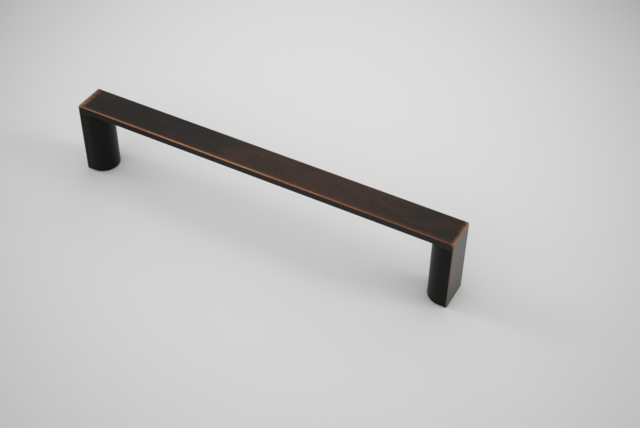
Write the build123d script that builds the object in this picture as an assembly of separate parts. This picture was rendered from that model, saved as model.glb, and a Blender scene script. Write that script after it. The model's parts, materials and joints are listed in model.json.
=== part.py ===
from build123d import *
from math import asin, degrees, radians, sqrt, tan
import os

# A bridge pull handle for a cabinet door or a drawer, cast in zinc alloy as one piece.
# A flat bar stands on two short legs and is flush with them at its ends and its sides.
# Each leg is flat on its outer end and half-round towards the fingers, and has a
# tapped hole in its foot for the screw that comes through the door.
# The origin is on the door's face, midway between the two holes: +X runs along the
# bar and +Z points away from the door. All sizes are in millimetres.

# The casting
hole_spacing = 128.0  # between the axes of the two screw holes
projection = 27.0  # from the door's face to the top of the bar
bar_width = 11.4  # of the bar and of both legs
bar_thickness = 2.65
leg_flat = 2.9  # straight part of a leg's sides, from its outer end to the half-round
edge_radius = 0.5  # on the outer edges of the bar, the legs and the feet
root_radius = 0.4  # where a half-round runs into the underside of the bar
lower_edge_radius = 0.35  # on the two long edges under the bar
lower_edge_runout = 3.0  # length over which that rounding fades out at each end

# The tapped holes
thread_diameter = 4.0
thread_pitch = 0.7
thread_depth = 10.0  # full thread, from the foot upwards
runout_pitches = 1.5  # length of the tap's tapered end, in thread pitches
drill_allowance = 2.0  # drilled past the end of the thread
drill_point_angle = 118.0
mouth_diameter = 4.6  # countersink that starts the screw
mouth_angle = 90.0

# Worked out from the above
leg_radius = bar_width / 2
leg_depth = leg_flat + leg_radius
overall_length = hole_spacing + leg_depth
gap_height = projection - bar_thickness
half_round_x = overall_length / 2 - leg_flat
root_reach = sqrt((leg_radius + root_radius) ** 2 - leg_radius**2)  # along the bar's side
tap_drill_diameter = thread_diameter - thread_pitch
on_the_door = (Align.CENTER, Align.CENTER, Align.MIN)


def cone_height(large_diameter, small_diameter, full_angle):
    """Height of a cone between two diameters, from its full angle in degrees."""
    return (large_diameter - small_diameter) / 2 / tan(radians(full_angle / 2))


def outer_block():
    """The block that the bar's top, the leg ends and the long sides are faces of."""
    return Box(overall_length, bar_width, projection, align=on_the_door)


def finger_gap():
    """What is open under the bar: its ends wrap the half-rounds, its top is the underside."""
    gap = Box(2 * half_round_x, 2 * bar_width, gap_height, align=on_the_door)
    half_round = Cylinder(leg_radius, gap_height, align=on_the_door)
    gap -= [Pos(side * half_round_x, 0, 0) * half_round for side in (-1, 1)]
    roots = gap.edges().filter_by(GeomType.CIRCLE).group_by(Axis.Z)[-1]
    return fillet(roots, root_radius)


def lower_edge_cutters():
    """What rounds the two edges under the bar, lifting clear of them in an arc at each end."""
    radius = lower_edge_radius
    lift = radius / 2
    arc_radius = (lower_edge_runout**2 + lift**2) / (2 * lift)
    straight_end = half_round_x - root_reach - lower_edge_runout
    square = Pos(-bar_width / 2, gap_height) * Rectangle(2 * radius, 2 * radius)
    rounding = Pos(radius - bar_width / 2, gap_height + radius) * Circle(radius)
    profile = Plane.YZ * (square - rounding)
    sideways = arc_radius / sqrt(2)
    centre = (straight_end, -bar_width / 2 - sideways, gap_height - sideways)
    turn = degrees(asin(lower_edge_runout / arc_radius))
    runout = revolve(Pos(straight_end, 0, 0) * profile, Axis(centre, (0, 1, -1)), turn)
    cutter = extrude(profile, straight_end, both=True) + runout + mirror(runout, Plane.YZ)
    return [cutter, mirror(cutter, Plane.XZ)]


def outer_edges(casting):
    """The edges round the top, down the four outer corners and round both feet."""
    levels = casting.edges().group_by(Axis.Z)
    upright = casting.edges().filter_by(Axis.Z)
    corners = upright.group_by(lambda edge: abs(edge.center().X))[-1]
    return levels[-1] + levels[0] + corners


def screw_hole():
    """One blind hole, as it is drilled, tapped and countersunk from the foot."""
    mouth = mouth_diameter / 2
    thread = thread_diameter / 2
    drill = tap_drill_diameter / 2
    mouth_end = cone_height(mouth_diameter, thread_diameter, mouth_angle)
    runout_end = thread_depth + runout_pitches * thread_pitch
    drill_end = runout_end + drill_allowance
    drill_tip = drill_end + cone_height(tap_drill_diameter, 0, drill_point_angle)
    profile = Polyline(
        (0, -mouth_end),
        (mouth + mouth_end, -mouth_end),
        (thread, mouth_end),
        (thread, thread_depth),
        (drill, runout_end),
        (drill, drill_end),
        (0, drill_tip),
        close=True,
    )
    return revolve(Plane.XZ * make_face(profile), Axis.Z)


def pull_handle():
    """The whole casting, with its holes."""
    casting = outer_block() - finger_gap()
    casting = fillet(outer_edges(casting), edge_radius)
    casting -= lower_edge_cutters()
    hole = screw_hole()
    casting -= [Pos(side * hole_spacing / 2, 0, 0) * hole for side in (-1, 1)]
    return casting


os.makedirs("parts", exist_ok=True)
handle = pull_handle()
export_step(handle, "parts/pull_handle.step")
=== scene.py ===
import json
from math import hypot, pi, radians

import bpy
from mathutils import Matrix, Vector


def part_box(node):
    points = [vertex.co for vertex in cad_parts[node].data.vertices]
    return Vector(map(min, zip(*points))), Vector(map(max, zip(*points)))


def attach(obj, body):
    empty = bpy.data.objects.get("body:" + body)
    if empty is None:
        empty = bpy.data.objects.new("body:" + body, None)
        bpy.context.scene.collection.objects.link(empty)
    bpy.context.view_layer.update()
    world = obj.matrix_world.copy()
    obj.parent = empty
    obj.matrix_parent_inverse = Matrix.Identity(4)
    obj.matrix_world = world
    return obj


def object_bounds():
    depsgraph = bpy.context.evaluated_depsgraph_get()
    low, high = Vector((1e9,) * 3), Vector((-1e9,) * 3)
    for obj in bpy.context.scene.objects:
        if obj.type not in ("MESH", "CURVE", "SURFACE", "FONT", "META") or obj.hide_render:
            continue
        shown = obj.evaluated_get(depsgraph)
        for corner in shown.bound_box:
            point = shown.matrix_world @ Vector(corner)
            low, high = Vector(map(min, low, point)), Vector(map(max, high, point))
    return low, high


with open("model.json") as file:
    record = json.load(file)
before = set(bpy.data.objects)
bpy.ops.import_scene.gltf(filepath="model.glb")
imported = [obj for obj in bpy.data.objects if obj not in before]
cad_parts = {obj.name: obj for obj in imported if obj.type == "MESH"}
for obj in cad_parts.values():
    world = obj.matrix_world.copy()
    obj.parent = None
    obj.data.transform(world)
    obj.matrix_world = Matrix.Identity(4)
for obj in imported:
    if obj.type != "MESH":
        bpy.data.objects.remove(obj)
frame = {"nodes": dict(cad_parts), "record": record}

CAD_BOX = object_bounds()
bpy.ops.object.select_all(action="DESELECT")


# The camera stands in front of the handle and a little to its right, and looks down on it.
# It aims beside the handle's middle and leans slightly, as a hand-held camera does.
CAMERA_AZIMUTH = 28.08
CAMERA_ELEVATION = 42.31
CAMERA_LEAN = 0.93
CAMERA_DISTANCE = 0.3594
CAMERA_AIM = Vector((0.0200, 0.0015, 0.0120))
LENS_MM = 63.4

camera_turn = (
    Matrix.Rotation(radians(CAMERA_AZIMUTH), 4, "Z")
    @ Matrix.Rotation(radians(90 - CAMERA_ELEVATION), 4, "X")
    @ Matrix.Rotation(radians(CAMERA_LEAN), 4, "Z")
)
camera = bpy.data.objects.new("camera", bpy.data.cameras.new("camera"))
camera.data.lens = LENS_MM
camera.data.clip_start = 0.01
stand_back = Matrix.Translation((0, 0, CAMERA_DISTANCE))
camera.matrix_world = Matrix.Translation(CAMERA_AIM) @ camera_turn @ stand_back
bpy.context.collection.objects.link(camera)
bpy.context.scene.camera = camera


# The floor is one sheet of smooth white card in a pale room. Two softboxes face each other
# along the bar, and wide dim panels stand behind them, behind the handle and before it.
class Shade:
    """A socket of a material. Arithmetic on it adds Math nodes, and node() adds any other."""

    def __init__(self, tree, socket=None):
        self.tree = tree
        self.socket = socket

    def node(self, kind, settings, sockets, output=0):
        """A new node, with its settings made first and then its sockets filled or linked."""
        node = self.tree.nodes.new("ShaderNode" + kind)
        for name, value in settings.items():
            setattr(node, name, value)
        named = {socket.identifier: socket for socket in node.inputs}
        named.update({socket.name: socket for socket in node.inputs if socket.enabled})
        for name, value in sockets.items():
            if isinstance(value, Shade):
                self.tree.links.new(value.socket, named[name])
            else:
                named[name].default_value = value
        outputs = {socket.identifier: socket for socket in node.outputs}
        outputs.update({socket.name: socket for socket in node.outputs if socket.enabled})
        found = outputs[output] if isinstance(output, str) else node.outputs[output]
        return Shade(self.tree, found)

    def maths(self, operation, *values):
        """The result of a Math node on this socket and these values."""
        node = self.tree.nodes.new("ShaderNodeMath")
        node.operation = operation
        for socket, value in zip(node.inputs, (self, *values)):
            if isinstance(value, Shade):
                self.tree.links.new(value.socket, socket)
            else:
                socket.default_value = value
        return Shade(self.tree, node.outputs[0])

    def __add__(self, other):
        return self.maths("ADD", other)

    __radd__ = __add__

    def __mul__(self, other):
        return self.maths("MULTIPLY", other)

    __rmul__ = __mul__

    def __sub__(self, other):
        return self.maths("SUBTRACT", other)

    def __rsub__(self, other):
        return (self * -1) + other

    def __pow__(self, other):
        return self.maths("POWER", other)

    def __abs__(self):
        return self.maths("ABSOLUTE")

    def most(self, other):
        return self.maths("MAXIMUM", other)

    def fade(self, start, end):
        """0 at start and 1 at end, smoothly between them and clamped past them."""
        sockets = {"Value": self, "From Min": start, "From Max": end}
        return self.node("MapRange", {"interpolation_type": "SMOOTHSTEP"}, sockets, "Result")

    def tint(self, low, high):
        """A colour that goes from low to high as this value goes from 0 to 1."""
        sockets = {"Factor_Float": self, "A_Color": paint(low), "B_Color": paint(high)}
        return self.node("Mix", {"data_type": "RGBA"}, sockets, "Result_Color")


def paint(colour):
    """A colour socket's value: three numbers become four, and a link stays as it is."""
    return colour if isinstance(colour, Shade) else (*colour, 1)


def new_material(name):
    """An empty material, with its shader and the start of its node expressions."""
    material = bpy.data.materials.new(name)
    material.use_nodes = True
    tree = material.node_tree
    return material, tree.nodes["Principled BSDF"], Shade(tree)


CARD_COLOUR = (0.745, 0.745, 0.742)
CARD_SIZE = 6.0

# The card's colour carries a painted pool of light: brightest behind the handle and darker away from
# there, in an oval.
PAINTED_FALLOFF_COLOUR = (0.38, 0.38, 0.38)
PAINTED_POOL_CENTRE = (-0.011, 0.057, 0)
PAINTED_POOL_TURN = 29.0
PAINTED_POOL_SIZE = (0.200, 0.288, 1)
PAINTED_DIM_GAIN = 1.78
PAINTED_DIM_POWER = 2.35
PAINTED_DIM_BLEND = 0.2

card_material, card_shader, card = new_material("white_card")
oval = {
    "Vector": card.node("TexCoord", {}, {}, "Object"),
    "Location": PAINTED_POOL_CENTRE,
    "Rotation": (0, 0, radians(PAINTED_POOL_TURN)),
    "Scale": PAINTED_POOL_SIZE,
}
from_spot = card.node("Mapping", {"vector_type": "TEXTURE"}, oval, "Vector")
reach = card.node("VectorMath", {"operation": "LENGTH"}, {"Vector": from_spot}, "Value")
# Painted falloff of light: the card's colour darkens with distance from the pool's centre.
painted_dimming = (reach**PAINTED_DIM_POWER * PAINTED_DIM_GAIN).maths("SMOOTH_MIN", 1.0, PAINTED_DIM_BLEND)
card_with_painted_light = painted_dimming.tint(CARD_COLOUR, PAINTED_FALLOFF_COLOUR)
card.tree.links.new(card_with_painted_light.socket, card_shader.inputs["Base Color"])
card_shader.inputs["Roughness"].default_value = 0.7
card_shader.inputs["Specular IOR Level"].default_value = 0.2
bpy.ops.mesh.primitive_plane_add(size=CARD_SIZE, location=(0, 0, CAD_BOX[0].z))
floor = bpy.context.object
floor.name = "floor"
floor.data.materials.append(card_material)


def soft_lamp(name, place, aim, width, depth, power):
    """A rectangular softbox that faces the point it is aimed at."""
    lamp = bpy.data.objects.new(name, bpy.data.lights.new(name, "AREA"))
    lamp.data.shape = "RECTANGLE"
    lamp.data.size = width
    lamp.data.size_y = depth
    lamp.data.energy = power
    lamp.location = place
    lamp.rotation_euler = (Vector(place) - Vector(aim)).to_track_quat("Z", "Y").to_euler()
    bpy.context.collection.objects.link(lamp)


HANDLE_MIDDLE = (0, 0, 0.015)
soft_lamp("left_softbox", (-0.555, -0.071, 0.421), HANDLE_MIDDLE, 0.16, 0.16, 0.53)
soft_lamp("right_softbox", (0.549, 0.137, 0.411), HANDLE_MIDDLE, 0.20, 0.20, 0.88)
soft_lamp("left_panel", (-0.589, -0.076, 0.371), HANDLE_MIDDLE, 0.70, 0.50, 1.14)
soft_lamp("right_panel", (0.576, 0.144, 0.371), HANDLE_MIDDLE, 0.70, 0.50, 0.65)
soft_lamp("front_panel", (0, -0.678, 0.424), HANDLE_MIDDLE, 1.30, 0.50, 2.31)
soft_lamp("back_panel", (0, 0.678, 0.424), HANDLE_MIDDLE, 1.30, 0.50, 1.39)

# The room looks brighter to the camera than the light it gives.
ROOM_LIGHT = 0.459
ROOM_SEEN = 0.70
world = bpy.data.worlds.new("pale_room")
world.use_nodes = True
bpy.context.scene.world = world
room = world.node_tree.nodes["Background"]
room.inputs["Color"].default_value = (1, 1, 1, 1)
rays = Shade(world.node_tree)
seen = rays.node("LightPath", {}, {}, "Is Camera Ray")
strength = seen * (ROOM_SEEN - ROOM_LIGHT) + ROOM_LIGHT
world.node_tree.links.new(strength.socket, room.inputs["Strength"])


# The handle is a zinc casting, plated with copper and blackened. The black is rubbed back
# to brown on top of the bar and to bare copper along its edges, and the tapped holes are
# cut through the finish, so they show the pale zinc.
handle = frame["nodes"]["pull_handle"]
farthest_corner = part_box("pull_handle")[1]
threaded_holes = [mount for mount in frame["record"]["mounts"] if mount["kind"] == "threaded_hole"]
threaded_holes.sort(key=lambda mount: mount["pos_m"][0])

# Sizes in the material are in millimetres.
MM = 1000
half_length = farthest_corner.x * MM
half_width = farthest_corner.y * MM
height = farthest_corner.z * MM
hole_x = threaded_holes[1]["pos_m"][0] * MM
BAR_THICKNESS = 2.65
HOLE_MOUTH_RADIUS = 2.3
HOLE_DEPTH = 14.1

BLACK = (0.0112, 0.0114, 0.0102)
# Grime in the pits, and painted shade under the bar where each half-round meets it.
GRIME_AND_SHADE = (0.0050, 0.0050, 0.0045)
# Painted reflection: the bar's sides are lighter than the legs, and lighter towards the right.
BAR_SIDE_PAINTED_SHEEN_LEFT = (0.0180, 0.0160, 0.0140)
BAR_SIDE_PAINTED_SHEEN_RIGHT = (0.0310, 0.0295, 0.0285)
# Painted sheen on the end faces, lighter towards the top.
PAINTED_END_SHEEN_LOW = (0.112, 0.105, 0.097)
PAINTED_END_SHEEN_HIGH = (0.195, 0.192, 0.185)
TOP_AT_ENDS = (0.024, 0.0215, 0.0180)
TOP_IN_MIDDLE = (0.036, 0.0315, 0.0265)
BROWN = (0.070, 0.0390, 0.0280)
RUSSET = (0.115, 0.0480, 0.0270)
COPPER = (0.52, 0.245, 0.130)
ZINC = (0.56, 0.57, 0.59)
TORN_ZINC = (0.46, 0.47, 0.49)

bronze, bronze_shader, shade = new_material("oil_rubbed_bronze")
place = shade.node("TexCoord", {}, {}, "Object")
x, y, z = (shade.node("SeparateXYZ", {}, {"Vector": place}, axis) * MM for axis in "XYZ")


def grain(shading, where, per_mm, stretch, seed):
    """Noise from 0 to 1, with that many cells in a millimetre and drawn out along the bar."""
    scale = per_mm * MM
    cells = {"Vector": where, "Location": (seed, seed, seed), "Scale": (scale / stretch, scale, scale)}
    spread = shading.node("Mapping", {}, cells, "Vector")
    return shading.node("TexNoise", {}, {"Vector": spread, "Scale": 1.0, "Detail": 3.0, "Roughness": 0.6})


blotches = grain(shade, place, 0.10, 2.2, 3.0)
smears = grain(shade, place, 0.45, 6.0, 11.0)
specks = grain(shade, place, 2.2, 1.3, 27.0)
dust = grain(shade, place, 6.0, 1.0, 41.0)

from_left = x + half_length
from_right = half_length - x
from_end = half_length - abs(x)
from_side = half_width - abs(y)
from_top = height - z

# The colour of the flat faces: black legs, then the bar's sides with a painted reflection,
# lighter than the legs and towards the right, a painted sheen on the ends, lighter towards
# the top, and the top, with grime in the pits and painted shade where each half-round meets the bar.
on_top = from_top.fade(0.50, 0.15)
on_bar = from_top.fade(BAR_THICKNESS + 0.45, BAR_THICKNESS - 0.15)
on_end = from_end.fade(0.45, 0.15)
middle = abs(x - 20).fade(66, 12)
mottle = blotches * 0.40 + smears * 0.30 + specks * 0.18 + dust * 0.12
browned = (mottle + middle * 0.08).fade(0.48, 0.64) * (middle * 0.65 + 0.35)
# Painted reflection on the bar's sides: lighter than the legs, and lighter towards the right.
colour = on_bar.tint(BLACK, x.fade(-55, 0).tint(BAR_SIDE_PAINTED_SHEEN_LEFT, BAR_SIDE_PAINTED_SHEEN_RIGHT))
# Painted sheen on the end faces, lighter towards the top.
colour = on_end.tint(colour, (z + mottle * 8).fade(2, 26).tint(PAINTED_END_SHEEN_LOW, PAINTED_END_SHEEN_HIGH))
top_colour = browned.tint(middle.tint(TOP_AT_ENDS, TOP_IN_MIDDLE), BROWN)
colour = on_top.tint(colour, top_colour)
pitted = (specks * 0.5 + dust * 0.5).fade(0.50, 0.36) * 0.55
half_round = from_side.fade(0.1, 0.7) * from_end.fade(2.6, 4.0) * from_end.fade(10.5, 9.0)
# Painted shade under the bar, where each half-round meets it.
painted_shade_under_bar = abs(from_top - BAR_THICKNESS - 0.35).fade(1.3, 0.4) * half_round
colour = pitted.most(painted_shade_under_bar).tint(colour, GRIME_AND_SHADE)

# The rubbed edges. Across a rounding, the two distances to its faces have their smallest sum
# at the middle, which is where the cloth cuts through first.
wander = (smears + specks - 1) * 0.16
long_edge = from_side + from_top + wander
short_edge = from_end + from_top + wander
upright_edge = from_end + from_side + wander
broken = (smears * 0.5 + specks * 0.5).fade(0.36, 0.60) * 0.6 + 0.4
front = y.fade(1, -1)
left = x.fade(1, -1)
bright_stretch = abs(x + 14).fade(70, 6) * 0.62 + 0.28
on_front = front * bright_stretch
on_back = (1 - front) * x.fade(-30, 12) * 0.50
line_long = long_edge.fade(0.45, 0.32) * (on_front + on_back) * broken
short_reach = left * 0.12 + 0.40
line_short = (short_edge - short_reach).fade(0.04, -0.09) * (broken * 0.4 + 0.4 + left * 0.2)
line_upright = upright_edge.fade(0.40, 0.30) * x.fade(-10, 10) * broken * 0.40
worn_corner = (from_end + from_side + from_top + wander).fade(1.9, 1.0) * broken * 0.7
smudge = (smears * 0.6 + specks * 0.4).fade(0.34, 0.60) * on_top
left_smudge = from_left.fade(2.8, 0.4) * (y.fade(6, -6) * 0.5 + 0.4) * smudge
right_smudge = from_right.fade(1.5, 0.5) * 0.35 * smudge
halo = (from_side + wander * 3).fade(1.7, 0.4) * on_top * front * (middle * 0.5 + 0.3)
bare = line_long.most(line_short).most(line_upright).most(worn_corner)
bare = bare.most(left_smudge).most(right_smudge)
colour = halo.tint(colour, RUSSET)
colour = bare.tint(colour, COPPER)

# Bare zinc inside the holes.
from_axis = ((abs(x) - hole_x) ** 2 + y**2) ** 0.5
below_tip = z.fade(HOLE_DEPTH + 0.4, HOLE_DEPTH)
in_hole = from_axis.fade(HOLE_MOUTH_RADIUS + 0.08, HOLE_MOUTH_RADIUS) * below_tip
colour = in_hole.tint(colour, ZINC)

shade.tree.links.new(colour.socket, bronze_shader.inputs["Base Color"])
roughness = blotches * 0.10 + specks * 0.10 + 0.34
shade.tree.links.new(roughness.socket, bronze_shader.inputs["Roughness"])
bronze_shader.inputs["Metallic"].default_value = 0.9
relief = {"Height": specks * 0.6 + dust * 0.4, "Strength": 0.25, "Distance": 0.00004}
skin = shade.node("Bump", {}, relief, "Normal")
shade.tree.links.new(skin.socket, bronze_shader.inputs["Normal"])
handle.data.materials.clear()
handle.data.materials.append(bronze)


# The threads are the ridges that an M4 tap leaves in the two blind holes. Each is one
# right-handed helix of zinc that starts on the countersink and runs out at the drilled end.
PITCH = 0.0007
TAP_DRILL_RADIUS = 0.00165
MOUTH_RADIUS = HOLE_MOUTH_RADIUS / MM
START_HEIGHT = 0.00035
TURNS = 15
STEPS_IN_A_TURN = 32
SUNK = 0.00002  # how far the ridge's roots lie inside the metal

zinc, zinc_shader, cut = new_material("cut_zinc")
torn = grain(cut, cut.node("TexCoord", {}, {}, "Object"), 3.0, 1.0, 5.0)
cut.tree.links.new(torn.tint(TORN_ZINC, ZINC).socket, zinc_shader.inputs["Base Color"])
cut.tree.links.new((torn * 0.2 + 0.25).socket, zinc_shader.inputs["Roughness"])
zinc_shader.inputs["Metallic"].default_value = 1.0

# The ridge is 7/8 of a pitch wide at its root and 1/4 at its crest.
for mount, name in zip(threaded_holes, ("thread_left", "thread_right")):
    root = mount["dims"]["r_mm"] / MM + SUNK
    crest = TAP_DRILL_RADIUS + SUNK / 2
    ridge = ((root, -7 / 16), (crest, -1 / 8), (crest, 1 / 8), (root, 7 / 16))
    bpy.ops.object.select_all(action="DESELECT")
    bpy.ops.mesh.primitive_circle_add(vertices=4, radius=PITCH)
    thread = bpy.context.object
    thread.name = name
    for vertex, (radius, pitches) in zip(thread.data.vertices, ridge):
        vertex.co = (radius, 0, START_HEIGHT + pitches * PITCH)
    sweep = thread.modifiers.new("sweep", "SCREW")
    sweep.axis = "Z"
    sweep.angle = 2 * pi
    sweep.screw_offset = PITCH
    sweep.iterations = TURNS
    sweep.steps = STEPS_IN_A_TURN
    sweep.render_steps = STEPS_IN_A_TURN
    bpy.ops.object.modifier_apply(modifier="sweep")
    for vertex in thread.data.vertices:
        reach = hypot(vertex.co.x, vertex.co.y)
        cone = MOUTH_RADIUS + SUNK - vertex.co.z
        vertex.co.xy *= max(1, cone / reach)
        vertex.co.x += mount["pos_m"][0]
    bpy.ops.object.mode_set(mode="EDIT")
    bpy.ops.mesh.select_all(action="SELECT")
    bpy.ops.mesh.fill_holes(sides=4)
    bpy.ops.mesh.normals_make_consistent(inside=False)
    bpy.ops.object.mode_set(mode="OBJECT")
    bpy.ops.object.shade_smooth_by_angle(angle=radians(40))
    thread.data.materials.append(zinc)
    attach(thread, "root")


bpy.context.scene.view_settings.view_transform = "Standard"
